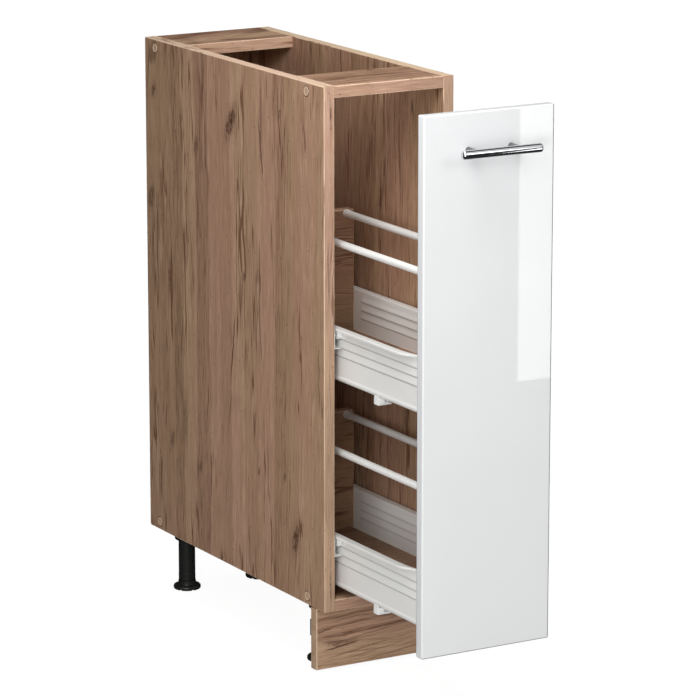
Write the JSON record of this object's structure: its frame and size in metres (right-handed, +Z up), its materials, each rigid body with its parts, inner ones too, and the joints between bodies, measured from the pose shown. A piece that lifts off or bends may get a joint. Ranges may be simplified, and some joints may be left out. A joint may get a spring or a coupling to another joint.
{
  "type": "pull-out pantry cabinet",
  "caption": "Narrow base cabinet with a full height pull-out: steel-sided drawers with railings behind one door, on adjustable legs with a clip-on plinth.",
  "frame": {"origin": "on the floor, under the middle of the whole object's box with the pull-out partly open as in the picture", "axes": "+Z up, +X to the right seen from the door, +Y from the door to the wall; the carcass front edges lie at Y = -0.1145"},
  "size_m": [0.2016, 0.803, 0.813],
  "materials": {
    "carcass_board": "oak decor foil, satin",
    "drawer_board": "oak decor foil, satin",
    "back_board": "thin fibreboard, matt",
    "beech": "plain beech",
    "door_front": "white high gloss foil on board",
    "coated_steel": "white powder coat, satin",
    "fastener_steel": "zinc plated",
    "handle_chrome": "polished",
    "white_plastic": "moulded",
    "cap_plastic": "moulded, beige",
    "leg_plastic": "moulded, black"
  },
  "bodies": {
    "carcass": {"side_panel_left": "carcass_board", "side_panel_right": "carcass_board", "bottom_panel": "carcass_board", "top_rail_front": "carcass_board", "top_rail_rear": "carcass_board", "back_panel": "back_board", "back_nails": "fastener_steel", "carcass_screws": "fastener_steel", "screw_caps": "cap_plastic", "wood_dowels": "beech", "leg_socket_front_left": "leg_plastic", "leg_socket_front_right": "leg_plastic", "leg_socket_rear_left": "leg_plastic", "leg_socket_rear_right": "leg_plastic", "leg_tube_front_left": "leg_plastic", "leg_tube_front_right": "leg_plastic", "leg_tube_rear_left": "leg_plastic", "leg_tube_rear_right": "leg_plastic", "runner_lower_left": "coated_steel", "runner_lower_right": "coated_steel", "runner_upper_left": "coated_steel", "runner_upper_right": "coated_steel", "runner_screws": "fastener_steel", "front_roller_pins": "fastener_steel"},
    "pull_out": {"steel_side_lower_left": "coated_steel", "steel_side_lower_right": "coated_steel", "steel_side_upper_left": "coated_steel", "steel_side_upper_right": "coated_steel", "drawer_bottom_lower": "drawer_board", "drawer_bottom_upper": "drawer_board", "drawer_back_lower": "drawer_board", "drawer_back_upper": "drawer_board", "railing_lower_left": "coated_steel", "railing_lower_right": "coated_steel", "railing_upper_left": "coated_steel", "railing_upper_right": "coated_steel", "railing_holders": "white_plastic", "front_brackets": "coated_steel", "side_clips": "white_plastic", "drawer_screws": "fastener_steel", "rear_roller_pins": "fastener_steel", "door_panel": "door_front", "handle_bar": "handle_chrome", "handle_posts": "handle_chrome", "handle_screws": "fastener_steel"},
    "plinth": {"plinth_board": "carcass_board", "plinth_clips": "leg_plastic", "plinth_screws": "fastener_steel"},
    "carcass_roller_lower_left": {"front_roller_lower_left": "white_plastic"},
    "carcass_roller_lower_right": {"front_roller_lower_right": "white_plastic"},
    "carcass_roller_upper_left": {"front_roller_upper_left": "white_plastic"},
    "carcass_roller_upper_right": {"front_roller_upper_right": "white_plastic"},
    "drawer_roller_lower_left": {"rear_roller_lower_left": "white_plastic"},
    "drawer_roller_lower_right": {"rear_roller_lower_right": "white_plastic"},
    "drawer_roller_upper_left": {"rear_roller_upper_left": "white_plastic"},
    "drawer_roller_upper_right": {"rear_roller_upper_right": "white_plastic"},
    "foot_front_left": {"leg_foot_front_left": "leg_plastic"},
    "foot_front_right": {"leg_foot_front_right": "leg_plastic"},
    "foot_rear_left": {"leg_foot_rear_left": "leg_plastic"},
    "foot_rear_right": {"leg_foot_rear_right": "leg_plastic"}
  },
  "joints": [
    {"name": "pull_out_slide", "type": "slide", "parent": "carcass", "child": "pull_out", "axis": [0, -1, 0], "range_m": [-0.233, 0.11]},
    {"name": "carcass_roller_lower_left_spin", "type": "hinge", "parent": "carcass", "child": "carcass_roller_lower_left", "pos_m": [-0.07405, -0.1065, 0.1885], "axis": [1, 0, 0], "continuous": true},
    {"name": "carcass_roller_lower_right_spin", "type": "hinge", "parent": "carcass", "child": "carcass_roller_lower_right", "pos_m": [0.07405, -0.1065, 0.1885], "axis": [1, 0, 0], "continuous": true},
    {"name": "carcass_roller_upper_left_spin", "type": "hinge", "parent": "carcass", "child": "carcass_roller_upper_left", "pos_m": [-0.07405, -0.1065, 0.4765], "axis": [1, 0, 0], "continuous": true},
    {"name": "carcass_roller_upper_right_spin", "type": "hinge", "parent": "carcass", "child": "carcass_roller_upper_right", "pos_m": [0.07405, -0.1065, 0.4765], "axis": [1, 0, 0], "continuous": true},
    {"name": "drawer_roller_lower_left_spin", "type": "hinge", "parent": "pull_out", "child": "drawer_roller_lower_left", "pos_m": [-0.07445, 0.1015, 0.179], "axis": [1, 0, 0], "continuous": true},
    {"name": "drawer_roller_lower_right_spin", "type": "hinge", "parent": "pull_out", "child": "drawer_roller_lower_right", "pos_m": [0.07445, 0.1015, 0.179], "axis": [1, 0, 0], "continuous": true},
    {"name": "drawer_roller_upper_left_spin", "type": "hinge", "parent": "pull_out", "child": "drawer_roller_upper_left", "pos_m": [-0.07445, 0.1015, 0.467], "axis": [1, 0, 0], "continuous": true},
    {"name": "drawer_roller_upper_right_spin", "type": "hinge", "parent": "pull_out", "child": "drawer_roller_upper_right", "pos_m": [0.07445, 0.1015, 0.467], "axis": [1, 0, 0], "continuous": true},
    {"name": "foot_front_left_height", "type": "slide", "parent": "carcass", "child": "foot_front_left", "axis": [0, 0, -1], "range_m": [0, 0.02]},
    {"name": "foot_front_right_height", "type": "slide", "parent": "carcass", "child": "foot_front_right", "axis": [0, 0, -1], "range_m": [0, 0.02]},
    {"name": "foot_rear_left_height", "type": "slide", "parent": "carcass", "child": "foot_rear_left", "axis": [0, 0, -1], "range_m": [0, 0.02]},
    {"name": "foot_rear_right_height", "type": "slide", "parent": "carcass", "child": "foot_rear_right", "axis": [0, 0, -1], "range_m": [0, 0.02]},
    {"name": "plinth_pull_off", "type": "slide", "parent": "carcass", "child": "plinth", "axis": [0, -1, 0], "range_m": [0, 0.06]}
  ],
  "couplings": [
    {"joint": "carcass_roller_lower_left_spin", "follows": "pull_out_slide", "rad_per_m": 142.86},
    {"joint": "carcass_roller_lower_right_spin", "follows": "pull_out_slide", "rad_per_m": 142.86},
    {"joint": "carcass_roller_upper_left_spin", "follows": "pull_out_slide", "rad_per_m": 142.86},
    {"joint": "carcass_roller_upper_right_spin", "follows": "pull_out_slide", "rad_per_m": 142.86},
    {"joint": "drawer_roller_lower_left_spin", "follows": "pull_out_slide", "rad_per_m": 125},
    {"joint": "drawer_roller_lower_right_spin", "follows": "pull_out_slide", "rad_per_m": 125},
    {"joint": "drawer_roller_upper_left_spin", "follows": "pull_out_slide", "rad_per_m": 125},
    {"joint": "drawer_roller_upper_right_spin", "follows": "pull_out_slide", "rad_per_m": 125}
  ]
}
